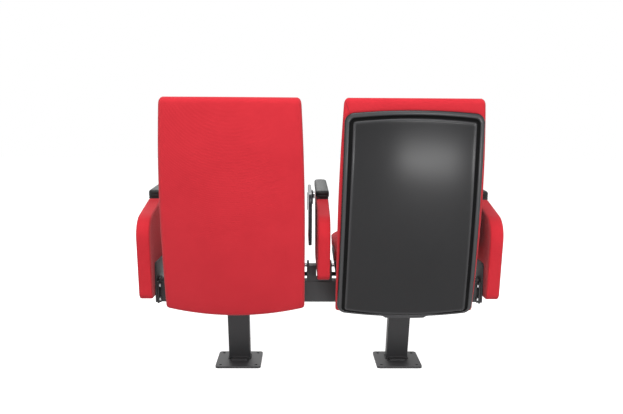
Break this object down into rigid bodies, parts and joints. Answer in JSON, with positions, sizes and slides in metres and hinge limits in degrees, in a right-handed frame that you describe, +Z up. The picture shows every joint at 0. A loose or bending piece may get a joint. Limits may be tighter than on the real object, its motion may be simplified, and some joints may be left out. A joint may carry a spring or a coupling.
{
  "type": "tip up auditorium seat",
  "caption": "Beam-mounted auditorium seating with upholstered backs, tip-up seats, padded arms and stowing writing tablets on leaning floor legs.",
  "frame": {"origin": "on the floor, at the middle of the unit's overall width and depth", "axes": "+Z up, sitters face -Y, X along the beam"},
  "size_m": [1.296, 0.7139, 0.9859],
  "materials": {
    "powder_black": "matt charcoal powder coat",
    "steel": "zinc-plated fasteners and pins",
    "fabric": "red woven upholstery over foam",
    "plywood": "plain moulded plywood, hidden",
    "shell": "black moulded plastic with a satin texture",
    "armrest": "black integral-skin pad",
    "plastic": "black moulded plastic",
    "tablet": "glossy black writing board",
    "rubber": "black rubber"
  },
  "bodies": {
    "stand": {"arm_board_left": "plywood", "arm_board_middle": "plywood", "arm_board_right": "plywood", "arm_cover_left": "fabric", "arm_cover_middle": "fabric", "arm_cover_right": "fabric", "arm_plate_left": "powder_black", "arm_plate_right": "powder_black", "armrest_base_left": "plastic", "armrest_base_middle": "plastic", "armrest_base_right": "plastic", "armrest_left": "armrest", "armrest_middle": "armrest", "armrest_right": "armrest", "back_board_left": "plywood", "back_board_right": "plywood", "back_cushion_left": "fabric", "back_cushion_right": "fabric", "back_rear_left": "fabric", "back_rear_right": "fabric", "back_shell_right": "shell", "back_supports_left": "powder_black", "back_supports_right": "powder_black", "beam": "powder_black", "bracket_bolts": "steel", "centre_bracket": "powder_black", "flange_bolts": "steel", "foot_plate_left": "powder_black", "foot_plate_right": "powder_black", "hinge_pins": "steel", "leg_left": "powder_black", "leg_right": "powder_black", "leg_saddle_left": "powder_black", "leg_saddle_right": "powder_black", "saddle_bolts": "steel", "seat_bracket_left": "powder_black", "seat_bracket_right": "powder_black", "seat_stops": "rubber", "support_bolts": "steel", "tablet_pivot_left": "steel", "tablet_pivot_right": "steel"},
    "seat_left": {"seat_bushes_left": "plastic", "seat_cushion_left": "fabric", "seat_damper_left": "plastic", "seat_frame_left": "powder_black", "seat_pan_left": "plastic", "seat_spring_drum_left": "plastic"},
    "tablet_arm_left": {"tablet_bracket_left": "powder_black"},
    "tablet_left": {"tablet_hinge_left": "powder_black", "tablet_leaf_left": "tablet"},
    "seat_right": {"seat_bushes_right": "plastic", "seat_cushion_right": "fabric", "seat_damper_right": "plastic", "seat_frame_right": "powder_black", "seat_pan_right": "plastic", "seat_spring_drum_right": "plastic"},
    "tablet_arm_right": {"tablet_bracket_right": "powder_black"},
    "tablet_right": {"tablet_hinge_right": "powder_black", "tablet_leaf_right": "tablet"}
  },
  "joints": [
    {"name": "seat_tip_left", "type": "hinge", "parent": "stand", "child": "seat_left", "pos_m": [0.3, 0.0511, 0.374], "axis": [-1, 0, 0], "range_deg": [0, 82]},
    {"name": "seat_tip_right", "type": "hinge", "parent": "stand", "child": "seat_right", "pos_m": [-0.3, 0.0511, 0.374], "axis": [-1, 0, 0], "range_deg": [0, 82]},
    {"name": "tablet_lift_left", "type": "hinge", "parent": "stand", "child": "tablet_arm_left", "pos_m": [0.02, -0.2809, 0.6], "axis": [1, 0, 0], "range_deg": [0, 90]},
    {"name": "tablet_fold_left", "type": "hinge", "parent": "tablet_arm_left", "child": "tablet_left", "pos_m": [0.035, -0.2609, 0.576], "axis": [0, 0, -1], "range_deg": [0, 90]},
    {"name": "tablet_lift_right", "type": "hinge", "parent": "stand", "child": "tablet_arm_right", "pos_m": [-0.588, -0.2809, 0.6], "axis": [1, 0, 0], "range_deg": [0, 90]},
    {"name": "tablet_fold_right", "type": "hinge", "parent": "tablet_arm_right", "child": "tablet_right", "pos_m": [-0.573, -0.2609, 0.576], "axis": [0, 0, -1], "range_deg": [0, 90]}
  ]
}
